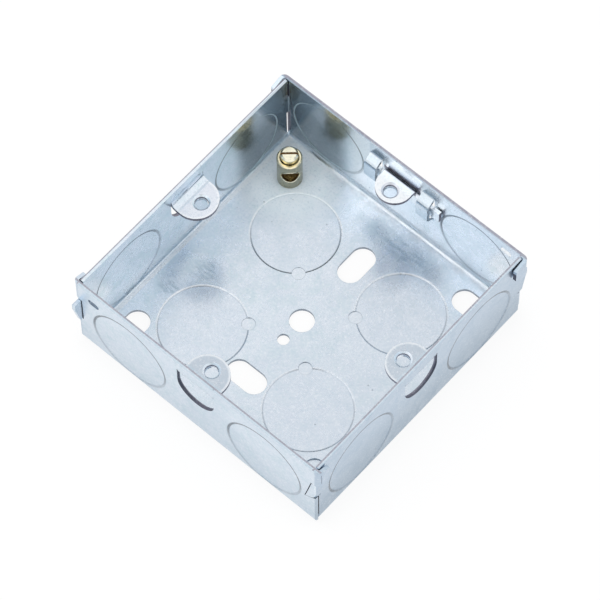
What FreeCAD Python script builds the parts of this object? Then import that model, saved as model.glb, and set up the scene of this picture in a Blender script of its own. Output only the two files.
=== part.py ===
import FreeCAD, Part
import os
from math import atan2, cos, copysign, pi, radians, sin, tan

# Single-gang flush back box: a folded steel box with knockouts, a sliding lug and a brass earth terminal.
# Millimetres. The origin is the middle of the base's outer face, and +Z points out of the open front.

Vector = FreeCAD.Vector
along_x = Vector(1, 0, 0)
along_y = Vector(0, 1, 0)
along_z = Vector(0, 0, 1)

# Folded shell. The X walls are plain, and the Y walls carry the ears that lock the corners
screw_spacing = 60.3            # standard, between the screw holes of opposite lugs
lug_reach_x = 5.25              # screw hole's axis in from the X wall's outer face
lug_reach_y = 5.45
depth = 26.0
sheet = 0.9
base_bend = 0.5                 # inside radius
strap_wall_bend = 1.2           # the same under the wall with the straps
corner_gap = 0.3                # X walls stop this short of the Y walls
open_corner_gap = 0.7           # the same at the earth terminal's corner, where light shows through
open_corner_step = 0.5          # and the Y wall's end there, in from the X wall's outer face
far_corner_step = 0.7           # the same at the wall's other end

# Ears: the Y walls run on round the corners and lap the X walls below the rim
ear_height = 7.1
ear_length = 3.4                # from the Y wall's outer face
strap_wall_ear_length = 4.4
ear_gap = 0.3                   # clear of the wall that it laps
ear_bend = 0.45
ear_taper = 2.4                 # rise of the lower edge towards the free end
ear_fall = 0.9                  # fall of the upper edge towards the free end

# Teeth: the X walls reach through the corners below the ears and fold into notches in the Y walls
tooth_height = 8.4
tooth_gap = 0.25                # slit round a tooth
tooth_bend = 0.3
tooth_reach_top = 1.1           # folded in from the X wall's outer face
tooth_reach_foot = 3.0
tooth_rise = 2.2                # rise of the lower edge towards the corner
standing_reach = 2.15           # a tooth left unfolded, out of the Y wall
half_standing_reach = 1.1
standing_taper = 1.4            # shorter by this at the lower edge
standing_nose = 1.9             # height of the square part at the top

# Fixed lugs, lanced out of three walls and bent inwards
screw_hole = 3.3
screw_dish = 4.2                # the hole's dished mouth
dish_depth = 0.35
lug_drop = 5.2                  # lug faces below the rim
lug_width = 10.6
lug_nose = 3.75                 # from the screw hole's axis to the tip
lug_bend = 2.0
lance_kerf = 0.15

# Sliding lug and the two straps that hold it on the +Y wall
strap_width = 3.4
strap_spacing = 15.6            # between the straps' middles
strap_drop = 4.0                # straps' upper ends below the rim
strap_height = 8.9
strap_ramp = 1.8                # height of each sloping end
strap_bend = 0.8
slide_clearance = 0.3           # strip to wall, and strip to straps
strip_clearance = 0.6           # strip's upper edge below the straps' upper bends
strip_height = 3.7
strip_left = 0.4                # strip's ends, past the outer edges of the straps
strip_right = 2.5
slider_setback = 0.35           # screw hole further out than on a fixed lug
slider_width = 9.0
slider_nose = 3.0
slider_bend = 0.15

# Knockouts
knockout_diameter = 21.0
floor_knockout_offset = 16.05
wall_knockout_offset = 20.2     # from the middle of the wall
strap_wall_knockout_offset = 22.4
wall_knockout_height = 11.9
strap_wall_knockout_height = 13.2
knockout_step = 0.14            # disc set back from one face of the sheet
knockout_edge = 0.14            # half the width of the sloping edge round it
tie_diameter = 3.2              # coined spot that leaves a disc of the base tied
tie_depth = 0.24
tie_angle = 45.0                # towards the middle of the base

# Fixing holes in the base
centre_hole = 6.0
pilot_hole = 2.9
pilot_offset = 6.4
slot_width = 6.0
slot_length = 10.5
slot_offset = 19.0
corner_slot_inset = 7.3         # slot's middle line in from the wall beside it
corner_slot_end = 3.2           # slot's end in from the wall before it

# Small slots high in the Y walls
key_slot_width = 2.0
key_slot_length = 3.2
key_slot_inset = 4.8            # from the X wall's outer face
key_slot_drop = 4.4
strap_wall_key_slot_drop = 3.1

# Earth terminal
earth_inset_x = 8.6             # from the outer faces of the walls
earth_inset_y = 9.4
post_diameter = 6.0
post_height = 9.5
post_chamfer = 0.3
rivet_diameter = 4.0
rivet_clearance = 0.05
wire_hole = 4.1
wire_hole_drop = 4.4            # axis below the post's top
bore_runout = 0.5               # screw's bore below the wire hole
clamp_diameter = 4.2
clamp_stand = 1.9               # out of the post, when backed out
clamp_tip_clearance = 0.05      # tip above the wire hole, when backed out
clamp_chamfer = 0.45
clamp_clearance = 0.2
clamp_slot_width = 0.5
clamp_slot_depth = 1.0
clamp_slot_angle = 42.0
spare_recess = 5.2              # coined place for a second terminal
spare_recess_depth = 0.45

# Places worked out from the sizes above
overlap = 1.0                   # run of shared sheet where two folds join
side_x = screw_spacing + 2 * lug_reach_x
side_y = screw_spacing + 2 * lug_reach_y
half_x = side_x / 2
half_y = side_y / 2
inner_x = half_x - sheet
inner_y = half_y - sheet
wall_x = half_x - sheet / 2     # middle planes
wall_y = half_y - sheet / 2
lug_top = depth - lug_drop
ear_low = depth - ear_height
tooth_top = ear_low - tooth_gap
tooth_foot = tooth_top - tooth_height
strip_y = inner_y - slide_clearance - sheet / 2
strap_y = strip_y - sheet - slide_clearance
strap_top = depth - strap_drop
strap_foot = strap_top - strap_height
post_top = sheet + post_height
clamp_length = clamp_stand + wire_hole_drop - wire_hole / 2 - clamp_tip_clearance
earth_x = half_x - earth_inset_x
earth_y = half_y - earth_inset_y
big = side_x + side_y + depth   # longer than any cut needs


# Solid of a sheet folded along points in its middle plane, as wide as given, with a radius for each fold
def folded_sheet(points, across, width, inside_radii, start=None):
    half = sheet / 2
    sides = {1: [], -1: []}
    heading = (points[1] - points[0]).normalize()
    for side, ends in sides.items():
        ends.append([points[0] + across.cross(heading) * side * half])
    for before, corner, after, inside_radius in zip(points, points[1:], points[2:], inside_radii):
        middle = inside_radius + half
        heading = (corner - before).normalize()
        leaving = (after - corner).normalize()
        turn = atan2(heading.cross(leaving).dot(across), heading.dot(leaving))
        way = copysign(1, turn)
        tangent = middle * tan(abs(turn) / 2)
        first = corner - heading * tangent
        last = corner + leaving * tangent
        centre = first + across.cross(heading) * way * middle
        outward = (corner - centre).normalize()
        for side, ends in sides.items():
            ends.append([first + across.cross(heading) * side * half,
                         centre + outward * (middle - way * side * half),
                         last + across.cross(leaving) * side * half])
    heading = (points[-1] - points[-2]).normalize()
    for side, ends in sides.items():
        ends.append([points[-1] + across.cross(heading) * side * half])
    edges = []
    for ends in sides.values():
        for here, there in zip(ends, ends[1:]):
            if len(here) == 3:
                edges.append(Part.Arc(*here).toShape())
            edges.append(Part.LineSegment(here[-1], there[0]).toShape())
    for end in (0, -1):
        edges.append(Part.LineSegment(sides[1][end][0], sides[-1][end][0]).toShape())
    face = Part.Face(Part.Wire(Part.__sortEdges__(edges)))
    solid = face.extrude(across * width)
    solid.translate(across * (-width / 2 if start is None else start))
    return solid


# Plate with the outline given by points, from its plane along a vector
def plate(points, along):
    return Part.Face(Part.makePolygon(points + points[:1])).extrude(along)


# Round-ended slot through the sheet, lengthwise along one direction
def round_slot(centre, lengthwise, through, length, width):
    sideways = through.cross(lengthwise) * (width / 2)
    reach = lengthwise * (length / 2 - width / 2)
    nose = lengthwise * (width / 2)
    left = centre - reach
    right = centre + reach
    edges = [Part.LineSegment(left + sideways, right + sideways).toShape(),
             Part.Arc(right + sideways, right + nose, right - sideways).toShape(),
             Part.LineSegment(right - sideways, left - sideways).toShape(),
             Part.Arc(left - sideways, left - nose, left + sideways).toShape()]
    slot = Part.Face(Part.Wire(edges)).extrude(through * big)
    slot.translate(through * (-big / 2))
    return slot


# D-shaped outline in the plane of two directions: straight sides from the root, then a round end
def lug_shape(root, middle, outwards, sideways, radius, along):
    side = sideways * radius
    edges = [Part.LineSegment(root + side, middle + side).toShape(),
             Part.Arc(middle + side, middle + outwards * radius, middle - side).toShape(),
             Part.LineSegment(middle - side, root - side).toShape(),
             Part.LineSegment(root - side, root + side).toShape()]
    return Part.Face(Part.Wire(edges)).extrude(along)


# Screw hole of a lug with its dished mouth
def screw_hole_cut(centre):
    drill = Part.makeCylinder(screw_hole / 2, big, centre - along_z * (big / 2))
    dish = Part.makeCone(screw_hole / 2, screw_dish / 2, dish_depth, centre - along_z * dish_depth)
    return drill.fuse(dish)


# Lug lanced from the wall that stands across +X at a given distance, with the window that it leaves
def fixed_lug(half_side):
    inner = half_side - sheet
    radius = lug_width / 2
    tip = screw_spacing / 2 - lug_nose
    tip_middle = tip + radius
    face_z = lug_top - sheet / 2
    bend_start = lug_top + lug_bend
    tongue = folded_sheet([Vector(half_side - sheet / 2, 0, bend_start + overlap),
                           Vector(half_side - sheet / 2, 0, face_z),
                           Vector(tip, 0, face_z)], along_y, lug_width, [lug_bend])
    outline = lug_shape(Vector(half_side, 0, 0), Vector(tip_middle, 0, 0), -along_x, along_y, radius,
                        along_z * big)
    unfolded = (lug_bend + sheet / 2) * pi / 2 + inner - lug_bend - tip_middle
    window = lug_shape(Vector(inner - sheet, 0, bend_start), Vector(inner - sheet, 0, bend_start - unfolded),
                       -along_z, along_y, radius + lance_kerf, along_x * (3 * sheet))
    centre = Vector(screw_spacing / 2, 0, lug_top)
    return tongue.common(outline).cut(screw_hole_cut(centre)), window


# Ear of a Y wall at one corner
def ear(sign_x, sign_y, length):
    lap_x = half_x + ear_gap + sheet / 2
    end_y = half_y - length
    strip = folded_sheet([Vector(sign_x * (inner_x - corner_gap - overlap), sign_y * wall_y, 0),
                          Vector(sign_x * lap_x, sign_y * wall_y, 0),
                          Vector(sign_x * lap_x, sign_y * end_y, 0)],
                         along_z, ear_height, [ear_bend], ear_low)
    profile = plate([Vector(-big / 2, sign_y * half_y, ear_low),
                     Vector(-big / 2, sign_y * inner_y, ear_low),
                     Vector(-big / 2, sign_y * end_y, ear_low + ear_taper),
                     Vector(-big / 2, sign_y * end_y, depth - ear_fall),
                     Vector(-big / 2, sign_y * inner_y, depth),
                     Vector(-big / 2, sign_y * half_y, depth)], along_x * big)
    return strip.common(profile)


# Run of a Y wall past the X wall's end, below the teeth, as far as a given place
def corner_run(sign_x, sign_y, end_x):
    start = inner_x - corner_gap - overlap
    bend = strap_wall_bend if sign_y > 0 else base_bend
    fold = folded_sheet([Vector(0, sign_y * (inner_y - overlap - bend), sheet / 2),
                         Vector(0, sign_y * wall_y, sheet / 2),
                         Vector(0, sign_y * wall_y, tooth_top)], along_x, end_x - start, [bend], start)
    if sign_x < 0:
        fold = fold.mirror(Vector(), along_x)
    return fold.common(Part.makeBox(big, sheet, depth, Vector(-big / 2, sign_y * wall_y - sheet / 2, 0)))


# Outline of a folded tooth through the Y wall, wider all round by a gap
def tooth_outline(sign_x, sign_y, gap):
    outside = half_x + sheet
    points = [Vector(sign_x * outside, 0, tooth_top + gap),
              Vector(sign_x * (half_x - tooth_reach_top - gap), 0, tooth_top + gap),
              Vector(sign_x * (half_x - tooth_reach_foot - gap), 0, tooth_foot - gap),
              Vector(sign_x * half_x, 0, tooth_foot + tooth_rise - gap),
              Vector(sign_x * outside, 0, tooth_foot + tooth_rise - gap)]
    through = along_y * sign_y
    return plate([point + through * (inner_y - sheet) for point in points], through * (3 * sheet))


# Notch in the Y wall for a tooth that stands straight out of it
def standing_notch(sign_x, sign_y):
    width = 2 * sheet + tooth_gap
    height = tooth_top - tooth_foot + 2 * tooth_gap
    middle = Vector(sign_x * (inner_x - tooth_gap + width / 2), sign_y * wall_y, tooth_foot - tooth_gap)
    return Part.makeBox(width, 3 * sheet, height, middle - Vector(width / 2, 1.5 * sheet, 0))


# Tooth of an X wall folded into the Y wall's plane
def folded_tooth(sign_x, sign_y):
    strip = folded_sheet([Vector(sign_x * wall_x, sign_y * (inner_y - open_corner_gap - overlap), 0),
                          Vector(sign_x * wall_x, sign_y * wall_y, 0),
                          Vector(sign_x * (half_x - tooth_reach_foot), sign_y * wall_y, 0)],
                         along_z, tooth_height, [tooth_bend], tooth_foot)
    inside = Part.makeBox(side_x, 2 * (inner_y - sheet), tooth_height - tooth_rise,
                          Vector(-half_x, sheet - inner_y, tooth_foot + tooth_rise))
    return strip.common(tooth_outline(sign_x, sign_y, 0).fuse(inside))


# Tooth of an X wall left standing out of the Y wall
def standing_tooth(sign_x, sign_y, reach):
    root = inner_y - corner_gap - overlap
    outline = [(root, tooth_top), (half_y + reach, tooth_top), (half_y + reach, tooth_top - standing_nose),
               (half_y + reach - standing_taper, tooth_foot), (root, tooth_foot)]
    start = wall_x - sheet / 2 if sign_x > 0 else -half_x
    return plate([Vector(start, sign_y * y, z) for y, z in outline], along_x * sheet)


# Strap bowed inwards out of the +Y wall, with the opening that it leaves
def strap(middle_x):
    bow = folded_sheet([Vector(middle_x, wall_y, strap_top + overlap),
                        Vector(middle_x, wall_y, strap_top),
                        Vector(middle_x, strap_y, strap_top - strap_ramp),
                        Vector(middle_x, strap_y, strap_foot + strap_ramp),
                        Vector(middle_x, wall_y, strap_foot),
                        Vector(middle_x, wall_y, strap_foot - overlap)],
                       along_x, strap_width, [strap_bend] * 4)
    opening_width = strap_width + 2 * lance_kerf
    opening = Part.makeBox(opening_width, 3 * sheet, strap_height,
                           Vector(middle_x - opening_width / 2, inner_y - sheet, strap_foot))
    return bow, opening


# Cut of one knockout: its disc set back from one face of the sheet, with a sloping edge
def knockout_cut(centre, into):
    rim = knockout_diameter / 2
    return Part.makeCone(rim + knockout_edge, rim - knockout_edge, knockout_step, centre, into)


# Knockouts of the base, each with the coined spot that ties it
def floor_knockouts():
    cuts = []
    for sign_x in (1, -1):
        for sign_y in (1, -1):
            centre = Vector(sign_x * floor_knockout_offset, sign_y * floor_knockout_offset, sheet)
            inwards = Vector(-sign_x * cos(radians(tie_angle)), -sign_y * sin(radians(tie_angle)), 0)
            spot = centre + inwards * (knockout_diameter / 2)
            cuts.append(knockout_cut(centre, -along_z))
            cuts.append(Part.makeCylinder(tie_diameter / 2, tie_depth, spot, -along_z))
    return cuts


# Knockouts of the walls: two walls show them on the inner face, two on the outer one
def wall_knockouts():
    walls = [(-along_x * inner_x, -along_x, along_y, wall_knockout_offset, wall_knockout_height),
             (along_y * inner_y, along_y, along_x, strap_wall_knockout_offset, strap_wall_knockout_height),
             (along_x * half_x, -along_x, along_y, wall_knockout_offset, wall_knockout_height),
             (-along_y * half_y, along_y, along_x, wall_knockout_offset, wall_knockout_height)]
    cuts = []
    for face, into, sideways, offset, height in walls:
        for sign in (1, -1):
            cuts.append(knockout_cut(face + sideways * sign * offset + along_z * height, into))
    return cuts


# Fixing holes and slots in the base, and the small slots in the Y walls
def fixing_cuts():
    corner_slot_run = corner_slot_end + slot_length / 2
    drilled = [(Vector(0, 0, 0), centre_hole),
               (Vector(0, -pilot_offset, 0), pilot_hole),
               (Vector(-earth_x, earth_y, 0), rivet_diameter + 2 * rivet_clearance)]
    slots = [(Vector(0, slot_offset, 0), along_y),
             (Vector(0, -slot_offset, 0), along_x),
             (Vector(corner_slot_inset - half_x, corner_slot_run - half_y, 0), along_y),
             (Vector(half_x - corner_slot_run, half_y - corner_slot_inset, 0), along_x)]
    cuts = [Part.makeCylinder(size / 2, 3 * sheet, place - along_z * sheet) for place, size in drilled]
    for place, lengthwise in slots:
        slot = round_slot(place, lengthwise, along_z, slot_length, slot_width)
        cuts.append(slot.common(Part.makeBox(side_x, side_y, 3 * sheet, Vector(-half_x, -half_y, -sheet))))
    for sign, drop in ((1, strap_wall_key_slot_drop), (-1, key_slot_drop)):
        place = Vector(sign * (half_x - key_slot_inset), sign * half_y, depth - drop)
        slot = round_slot(place, along_x, along_y, key_slot_length, key_slot_width)
        wall = Part.makeBox(side_x, 3 * sheet, depth, Vector(-half_x, sign * wall_y - 1.5 * sheet, 0))
        cuts.append(slot.common(wall))
    spare = Vector(earth_x, -earth_y, sheet - spare_recess_depth)
    cuts.append(Part.makeCylinder(spare_recess / 2, sheet, spare))
    return cuts


# Wider gap at the end of the X wall beside the earth terminal
def open_corner_cut():
    foot = sheet + strap_wall_bend
    return Part.makeBox(3 * sheet, open_corner_gap, tooth_foot + tooth_rise - foot,
                        Vector(-wall_x - 1.5 * sheet, inner_y - open_corner_gap, foot))


# The whole folded box, one piece of sheet
def box_body():
    shell = folded_sheet([Vector(0, -wall_y, depth), Vector(0, -wall_y, sheet / 2),
                          Vector(0, wall_y, sheet / 2), Vector(0, wall_y, depth)],
                         along_x, 2 * (inner_x - corner_gap), [base_bend, strap_wall_bend])
    shell = shell.fuse(folded_sheet([Vector(-wall_x, 0, depth), Vector(-wall_x, 0, sheet / 2),
                                     Vector(wall_x, 0, sheet / 2), Vector(wall_x, 0, depth)],
                                    along_y, 2 * (inner_y - corner_gap), [base_bend] * 2))
    additions = []
    openings = []
    for half_side, turn in ((half_x, 0), (half_x, 180), (half_y, -90)):
        for piece, group in zip(fixed_lug(half_side), (additions, openings)):
            piece.rotate(Vector(), along_z, turn)
            group.append(piece)
    for sign in (1, -1):
        bow, opening = strap(sign * strap_spacing / 2)
        additions.append(bow)
        openings.append(opening)
    corners = [(1, -1, ear_length, 0, 0),
               (-1, -1, ear_length, standing_reach, 0),
               (1, 1, strap_wall_ear_length, half_standing_reach, far_corner_step),
               (-1, 1, strap_wall_ear_length, 0, open_corner_step)]
    for sign_x, sign_y, length, reach, step in corners:
        additions.append(ear(sign_x, sign_y, length))
        if reach:
            notch = standing_notch(sign_x, sign_y)
            additions.append(standing_tooth(sign_x, sign_y, reach))
        else:
            notch = tooth_outline(sign_x, sign_y, tooth_gap)
            additions.append(folded_tooth(sign_x, sign_y))
        openings.append(notch)
        additions.append(corner_run(sign_x, sign_y, half_x - step).cut(notch))
    openings.append(open_corner_cut())
    body = shell.cut(openings).fuse(additions)
    return body.cut(floor_knockouts() + wall_knockouts() + fixing_cuts()).removeSplitter()


# Strip that slides behind the straps, with its lug turned in
def adjustable_lug():
    strap_edge = strap_spacing / 2 + strap_width / 2
    strip_length = strap_spacing + strap_width + strip_left + strip_right
    strip_foot = strap_top - strap_ramp - strip_clearance - strip_height
    strip = Part.makeBox(strip_length, sheet, strip_height,
                         Vector(-strap_edge - strip_left, strip_y - sheet / 2, strip_foot))
    radius = slider_width / 2
    screw_y = screw_spacing / 2 + slider_setback
    tip = screw_y - slider_nose
    tongue = folded_sheet([Vector(0, strip_y, strip_foot), Vector(0, strip_y, lug_top - sheet / 2),
                           Vector(0, tip, lug_top - sheet / 2)], along_x, slider_width, [slider_bend])
    outline = lug_shape(Vector(0, half_y, 0), Vector(0, tip + radius, 0), -along_y, along_x, radius,
                        along_z * big)
    lug = tongue.common(outline).fuse(strip).cut(screw_hole_cut(Vector(0, screw_y, lug_top)))
    return lug.removeSplitter()


# Brass pillar riveted through the base, bored for the clamping screw and cross-drilled for the wire
def earth_terminal_post():
    axis = Vector(-earth_x, earth_y, 0)
    radius = post_diameter / 2
    section = [Vector(0, 0, 0), Vector(rivet_diameter / 2, 0, 0), Vector(rivet_diameter / 2, 0, sheet),
               Vector(radius, 0, sheet), Vector(radius, 0, post_top - post_chamfer),
               Vector(radius - post_chamfer, 0, post_top), Vector(0, 0, post_top)]
    post = Part.Face(Part.makePolygon(section + section[:1])).revolve(Vector(), along_z, 360)
    wire_z = post_top - wire_hole_drop
    bore_foot = wire_z - wire_hole / 2 - bore_runout
    bore = Part.makeCylinder(clamp_diameter / 2 + clamp_clearance, big, Vector(0, 0, bore_foot))
    wire_way = Vector(1, -1, 0).normalize()
    wire_start = Vector(0, 0, wire_z) - wire_way * post_diameter
    cross = Part.makeCylinder(wire_hole / 2, 2 * post_diameter, wire_start, wire_way)
    post = post.cut([bore, cross]).removeSplitter()
    post.translate(axis)
    return post


# Slotted brass clamping screw
def earth_terminal_screw():
    axis = Vector(-earth_x, earth_y, 0)
    radius = clamp_diameter / 2
    top = post_top + clamp_stand
    foot = top - clamp_length
    end = radius - clamp_chamfer
    section = [Vector(0, 0, foot), Vector(end, 0, foot), Vector(radius, 0, foot + clamp_chamfer),
               Vector(radius, 0, top - clamp_chamfer), Vector(end, 0, top), Vector(0, 0, top)]
    screw = Part.Face(Part.makePolygon(section + section[:1])).revolve(Vector(), along_z, 360)
    slot = Part.makeBox(2 * clamp_diameter, clamp_slot_width, clamp_slot_depth,
                        Vector(-clamp_diameter, -clamp_slot_width / 2, top - clamp_slot_depth))
    slot.rotate(Vector(), along_z, clamp_slot_angle)
    screw = screw.cut(slot)
    screw.translate(axis)
    return screw


def main():
    os.makedirs("parts", exist_ok=True)
    for build in (box_body, adjustable_lug, earth_terminal_post, earth_terminal_screw):
        solid = build()
        solid.exportStep(os.path.join("parts", build.__name__ + ".step"))
        print(build.__name__, len(solid.Solids), "solid", round(solid.Volume, 1), "mm3", solid.isValid())


main()
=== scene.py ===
import math

import bmesh
import bpy
from mathutils import Matrix, Vector


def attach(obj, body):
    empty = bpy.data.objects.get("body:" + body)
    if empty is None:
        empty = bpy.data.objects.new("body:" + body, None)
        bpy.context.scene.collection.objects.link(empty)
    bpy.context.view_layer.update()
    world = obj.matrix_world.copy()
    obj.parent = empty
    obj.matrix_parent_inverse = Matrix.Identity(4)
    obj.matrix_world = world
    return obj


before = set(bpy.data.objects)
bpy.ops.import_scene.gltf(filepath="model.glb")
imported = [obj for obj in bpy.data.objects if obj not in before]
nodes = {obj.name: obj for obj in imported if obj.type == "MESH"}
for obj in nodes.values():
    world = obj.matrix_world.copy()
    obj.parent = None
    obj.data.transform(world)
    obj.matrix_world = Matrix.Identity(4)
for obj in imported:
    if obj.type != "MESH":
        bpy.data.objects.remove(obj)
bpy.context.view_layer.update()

mm = 0.001
print("frame loaded:", ", ".join(sorted(nodes)))


def colour(red, green, blue):
    return (red, green, blue, 1.0)


# Builds a node tree a step at a time. A value is a number, a colour or another node's socket
class Bench:
    def __init__(self, tree):
        self.tree = tree

    def put(self, socket, value):
        if isinstance(value, bpy.types.NodeSocket):
            self.tree.links.new(value, socket)
        else:
            socket.default_value = value

    def add(self, kind, settings=None, **sockets):
        made = self.tree.nodes.new(kind)
        for name, value in (settings or {}).items():
            setattr(made, name, value)
        for name, value in sockets.items():
            self.put(made.inputs[name], value)
        return made

    def maths(self, operation, *values):
        made = self.add("ShaderNodeMath", {"operation": operation})
        for socket, value in zip(made.inputs, values):
            self.put(socket, value)
        return made.outputs[0]

    def product(self, first, *others):
        for other in others:
            first = self.maths("MULTIPLY", first, other)
        return first

    def largest(self, first, *others):
        for other in others:
            first = self.maths("MAXIMUM", first, other)
        return first

    def opposite(self, value):
        return self.maths("SUBTRACT", 1.0, value)

    def size(self, value):
        return self.maths("ABSOLUTE", value)

    def above(self, value, limit):
        return self.maths("GREATER_THAN", value, limit)

    def below(self, value, limit):
        return self.maths("LESS_THAN", value, limit)

    def between(self, value, low, high):
        return self.product(self.above(value, low), self.below(value, high))

    # Runs smoothly from one level to another as the source goes from low to high
    def fade(self, source, low, high, fromLevel=0.0, toLevel=1.0):
        made = self.add("ShaderNodeMapRange", {"interpolation_type": "SMOOTHSTEP"})
        for name, value in (("Value", source), ("From Min", low), ("From Max", high),
                            ("To Min", fromLevel), ("To Max", toLevel)):
            self.put(made.inputs[name], value)
        return made.outputs[0]

    # One on a line at a given place, soft at its edges
    def line(self, value, place, halfWidth):
        away = self.size(self.maths("SUBTRACT", value, place))
        return self.fade(away, halfWidth * 0.4, halfWidth, 1.0, 0.0)

    def reach(self, first, second):
        square = self.maths("MULTIPLY", second, second)
        return self.maths("SQRT", self.maths("MULTIPLY_ADD", first, first, square))

    def reachFrom(self, first, second, place):
        return self.reach(self.maths("SUBTRACT", first, place[0]), self.maths("SUBTRACT", second, place[1]))

    def mix(self, amount, first, second):
        made = self.add("ShaderNodeMix", {"data_type": "RGBA", "clamp_factor": True})
        for place, value in ((0, amount), (6, first), (7, second)):
            self.put(made.inputs[place], value)
        return made.outputs[2]

    def mixShaders(self, amount, first, second):
        made = self.tree.nodes.new("ShaderNodeMixShader")
        for socket, value in zip(made.inputs, (amount, first, second)):
            self.put(socket, value)
        return made.outputs[0]

    def parts(self, vector):
        return self.add("ShaderNodeSeparateXYZ", Vector=vector).outputs

    # Object coordinates in millimetres
    def millimetres(self):
        coordinates = self.tree.nodes.new("ShaderNodeTexCoord")
        scaled = self.add("ShaderNodeVectorMath", {"operation": "SCALE"}, Scale=1 / mm)
        self.tree.links.new(coordinates.outputs["Object"], scaled.inputs[0])
        return scaled.outputs[0]

    def faceNormal(self):
        return self.tree.nodes.new("ShaderNodeNewGeometry").outputs["True Normal"]

    def stretched(self, vector, factors, turn):
        made = self.add("ShaderNodeMapping", Vector=vector, Scale=factors)
        made.inputs["Rotation"].default_value = (0.0, 0.0, math.radians(turn))
        return made.outputs[0]

    def noise(self, vector, scale, detail, roughness, distortion=0.0):
        made = self.add("ShaderNodeTexNoise", Vector=vector, Scale=scale, Detail=detail, Roughness=roughness,
                        Distortion=distortion)
        return made.outputs[0]

    # Normal with worn edges and a fine relief
    def wornRelief(self, height, strength, depth, wear):
        worn = self.add("ShaderNodeBevel", {"samples": 6}, Radius=wear * mm)
        made = self.add("ShaderNodeBump", Strength=strength, Distance=depth * mm, Height=height,
                        Normal=worn.outputs[0])
        return made.outputs[0]


def blankMaterial(name):
    material = bpy.data.materials.new(name)
    material.use_nodes = True
    return material, Bench(material.node_tree), material.node_tree.nodes["Principled BSDF"]


# Places on the box, in millimetres: the same as in the solids
box = {
    "halfX": 35.4,               # outer faces of the walls
    "halfY": 35.6,
    "sheet": 0.9,
    "baseTop": (0.45, 1.05),     # between these only the base faces up
    "foldTop": 1.3,
    "foldHighlight": (0.95, 0.7),     # painted highlight on the left fold: depth from the wall and half width
    "rim": 24.9,                 # above here only the rim faces up
    "lugFaces": (19.85, 20.85),
    "lugBendTop": 23.0,
    "lugMiddle": 31.7,           # of the round end
    "lugRoot": (32.6, 0.3),      # painted line of shade: place and half width
    "lugHalfWidth": 5.4,
    "straps": (5.8, 9.8),        # either side of the middle
    "strapFace": 31.3,
    "strapFoot": 12.0,
    "sliderTop": 20.75,          # upper face of the sliding lug, and where it bends up
    "sliderBend": 33.2,
    "keySlots": (28.4, 20.4, 24.6),
    "strapWallFootBend": 2.3,
    "openCorner": (-35.4, 35.6),
    "post": (-26.8, 26.2),
    "flat": 0.9,                 # upward part of a face's normal: flat, steep and slanted faces
    "steep": 0.5,
    "slanted": 0.3,
}
innerX = box["halfX"] - box["sheet"]
innerY = box["halfY"] - box["sheet"]

# Knockout discs, in millimetres: the same places as in the solids
knockouts = {
    "radius": 10.5,
    "floorOffset": 16.05,
    "wallOffset": 20.2,
    "wallHeight": 11.9,
    "strapWallOffset": 22.4,
    "strapWallHeight": 13.2,
    "tieRadius": 1.6,
    "tieOffset": 8.63,
    "tieAngle": 42.0,                    # on the walls: below level, towards the middle of the wall
    "lineWidth": 0.2,                    # shear line on the faces that have no sloping edge
    "lineHeight": 0.025,
    "steps": 96,
    "brightRim": (10.64, 0.28),          # middle and half width of the painted lines
    "darkRim": (10.4, 0.26),
    "wallRim": (10.72, 0.44),
    "cornerRim": (10.5, 0.24),
    "tieRim": (1.6, 0.16),
    "brightPart": (-0.5, 0.3),           # fades: two places, and the levels there where they aren't 0 and 1
    "darkPart": (-0.2, 0.5, 0.85, 0.4),
    "wallPart": (-0.5, 0.3, 0.35, 1.0),
    "discEdge": (10.2, 10.6, 0.5, 0.0),
    "tieEdge": (1.5, 1.8, 0.3, 0.0),
    "wallLean": -0.6,
}
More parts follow.
